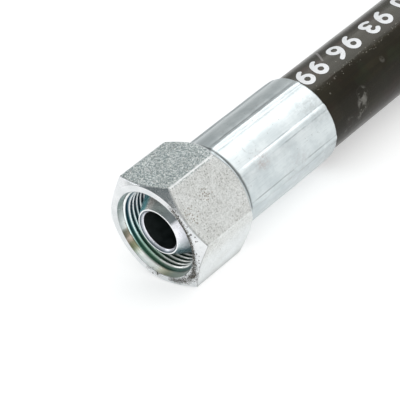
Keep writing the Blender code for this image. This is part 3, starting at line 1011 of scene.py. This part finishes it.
def stroke_outline(points, half_width):
    """Rows of left and right points along a stroke with softened corners and round ends."""
    line = np.array(points)
    for step in range(2):
        first, second = line[:-1], line[1:]
        cut = np.stack([first * 0.75 + second * 0.25, first * 0.25 + second * 0.75], axis=1).reshape(-1, 2)
        line = np.concatenate([line[:1], cut, line[-1:]])
    steps = np.linalg.norm(np.diff(line, axis=0), axis=1)
    reach = np.concatenate([[0.0], np.cumsum(steps)])
    even = np.linspace(0, reach[-1], max(6, round(reach[-1] / 0.045)))
    line = np.stack([np.interp(even, reach, line[:, axis]) for axis in (0, 1)], axis=-1)
    ahead = np.gradient(line, axis=0)
    ahead /= np.linalg.norm(ahead, axis=1)[:, None]
    turns = np.radians(np.arange(0, 90, 15))
    rounding = [(half_width * math.cos(turn), half_width * math.sin(turn)) for turn in turns]
    start = [(line[0] - ahead[0] * past, half, ahead[0]) for past, half in rounding]
    middle = [(place, half_width, heading) for place, heading in zip(line, ahead)]
    end = [(line[-1] + ahead[-1] * past, half, ahead[-1]) for past, half in reversed(rounding)]
    rows = []
    for place, half, heading in start + middle + end:
        side = np.array((-heading[1], heading[0])) * half
        rows.append((place + side, place - side))
    return np.array(rows)


def print_mesh(name, marks):
    """Numbers wrapped on the hose, each from a place along it towards its near end, just above the rubber."""
    points, faces = [], []
    for text, place in marks:
        for number, digit in enumerate(text):
            for layer, stroke in enumerate(DIGITS[digit]):
                rows = stroke_outline(stroke, STROKE_HALF_WIDTH)
                # strokes rise a little along their way, so that no faces coincide where they cross
                lift = np.linspace(INK_HEIGHT, INK_HEIGHT + HAIR, len(rows))[:, None] + HAIR * layer
                along = place - (rows[..., 0] + DIGIT_SPACING * number) * DIGIT_SIZE
                angle = DIGIT_FOOT + rows[..., 1] * (DIGIT_TOP - DIGIT_FOOT)
                laid = on_hose(along, angle, HOSE_RADIUS + lift + 0 * along)
                faces += grid_faces(len(rows), 2, len(points))
                points += [tuple(point) for point in laid.reshape(-1, 3)]
    mesh = bpy.data.meshes.new(name)
    mesh.from_pydata(points, [], faces)
    shape = bmesh.new()
    shape.from_mesh(mesh)
    bmesh.ops.dissolve_degenerate(shape, edges=shape.edges, dist=0.1 * HAIR)
    shape.to_mesh(mesh)
    shape.free()
    mesh.shade_smooth()
    return mesh


marks = []
for number in range(10, LAST_NUMBER + 1):
    marks.append((str(3 * number), PRINT_START + PRINT_STEP * (LAST_NUMBER - number)))
words = new_piece("hose_print", print_mesh("hose_print", marks), materials["print"])
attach(words, "hose_assembly")

# The second material of a part: its name, and the radius and heights that it lies within
INSIDES = {
    "nut": ("thread", MOUTH_RADIUS, -HAIR, 0.0225),
    "nipple": ("bore", BORE_RADIUS, 0.0024, FERRULE_END),
}

pieces = {}
for end, pose in POSES.items():
    for part, make, body in (
        ("nut", nut_mesh, end + "_swivel"),
        ("nipple", nipple_mesh, "hose_assembly"),
        ("ferrule", ferrule_mesh, "hose_assembly"),
    ):
        mesh = make(f"{end}_{part}_detail")
        piece = new_piece(f"{end}_{part}_detail", mesh, materials[part])
        if part in INSIDES:
            inside, radius, first, last = INSIDES[part]
            mesh.materials.append(materials[inside])
            for face in mesh.polygons:
                within = math.hypot(face.center.x, face.center.y) < radius + HAIR
                face.material_index = int(within and first < face.center.z < last)
        mesh.transform(pose)
        normals = piece.modifiers.new("normals", "WEIGHTED_NORMAL")
        normals.keep_sharp = True
        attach(piece, body)
        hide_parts(f"{end}_{part}")
        pieces[end, part] = piece


# Floor, light and world

floor_mesh = bpy.data.meshes.new("floor")
floor_mesh.from_pydata([(-6, -6, 0), (6, -6, 0), (6, 6, 0), (-6, 6, 0)], [], [(0, 1, 2, 3)])
floor_material, shader = new_material("floor", 0.0, 0.9)
shader.inputs["Base Color"].default_value = (0.78, 0.78, 0.78, 1.0)
shader.inputs["Specular IOR Level"].default_value = 0.1
shader.inputs["Emission Color"].default_value = (1.0, 1.0, 1.0, 1.0)
shader.inputs["Emission Strength"].default_value = 0.42
floor = new_piece("floor", floor_mesh, floor_material)


def facing_along(direction):
    """The turn that makes a lamp shine this way."""
    return Vector(direction).to_track_quat("-Z", "Y").to_euler()


def soft_light(name, place, size, radiance, target=None):
    """A flat lamp that shines straight down or at a target; its power gives the radiance asked for."""
    light = bpy.data.lights.new(name, "AREA")
    light.shape = "RECTANGLE"
    light.size, light.size_y = size
    light.energy = math.pi * size[0] * size[1] * radiance
    lamp = new_object(name, light)
    lamp.location = place
    if target:
        lamp.rotation_euler = facing_along(Vector(target) - lamp.location)
    return lamp


def shine_on(lamp, shone_on):
    """Lets a lamp light only these pieces, so that it can be tuned for them and the floor stays even."""
    chosen = bpy.data.collections.new(lamp.name + "_lights")
    for piece in shone_on:
        chosen.objects.link(piece)
    lamp.light_linking.receiver_collection = chosen


steel = list(pieces.values())
ferrules = [pieces[end, "ferrule"] for end in POSES]
shine_on(soft_light("overhead", (0.5, -0.005, 1.0), (1.5, 0.65), 1.5), steel)
for name, across, width, radiance in (
    ("hose_sheen", -0.02, 0.54, 4.2),
    ("hose_sheen_back", 0.6, 0.7, 2.9),
    ("hose_sheen_top", 1.55, 1.2, 0.8),
):
    shine_on(soft_light(name, (0.5, across, 1.0), (1.8, width), radiance), [hose])
shine_on(soft_light("ferrule_sheen", (0.45, -0.72, 0.76), (1.3, 1.05), 0.62, (-0.2, -0.02, 0.016)), ferrules)
for end, side in (("near", -1), ("far", 1)):
    mouth = (-side * NEAR_FACE[0], -side * NEAR_FACE[1], NEAR_FACE[2])
    for name, (x, y, z), radiance in (
        ("mouth_fill", (0.75, 0.45, 0.34), 6.5),
        ("mouth_glint", (0.8, -0.98, 0.44), 1.8),
    ):
        lamp = soft_light(name, (side * x, side * y, z), (0.45, 0.45), radiance, mouth)
        lamp.visible_glossy = name == "mouth_glint"
        shine_on(lamp, [pieces[end, "nut"], pieces[end, "nipple"]])
fill_data = bpy.data.lights.new("fill", "SUN")
fill_data.energy = 1.45
fill_data.angle = math.radians(150)
fill = new_object("fill", fill_data)
fill.rotation_euler = facing_along((0.25, 0.45, -1.0))
fill.visible_glossy = False

world = bpy.data.worlds.new("studio")
bpy.context.scene.world = world
world.use_nodes = True
tree = world.node_tree
backdrop = tree.nodes["Background"]
direction = add("TexCoord").outputs["Generated"]
height = add("SeparateXYZ", {0: direction}).outputs["Z"]


def glow(towards, low, high, amount):
    """A soft bright patch of the studio round a direction."""
    unit = tuple(Vector(towards).normalized())
    return between(measure("DOT_PRODUCT", direction, unit), low, high, 0.0, amount)


level = calculate("ADD", glow((0.55, -0.72, 0.42), 0.45, 0.97, 0.62), 0.17)
level = calculate("ADD", level, glow((0.55, 0.66, 0.5), 0.3, 0.95, 0.4))
level = calculate("ADD", level, glow((-0.42, -0.86, 0.28), 0.6, 0.97, 0.6))
shade = mix(between(level, 0.22, 0.7), (0.86, 1.0, 1.02), (1.0, 0.995, 0.985))
paint = add("VectorMath", {0: shade, "Scale": level}, operation="SCALE").outputs[0]
# white near the horizon, like the floor
horizon = between(height, 0.05, 0.15, 1.0, 0.0)
tree.links.new(mix(horizon, paint, (1.0, 1.0, 1.0)), backdrop.inputs["Color"])

bpy.context.scene.view_settings.view_transform = "Standard"
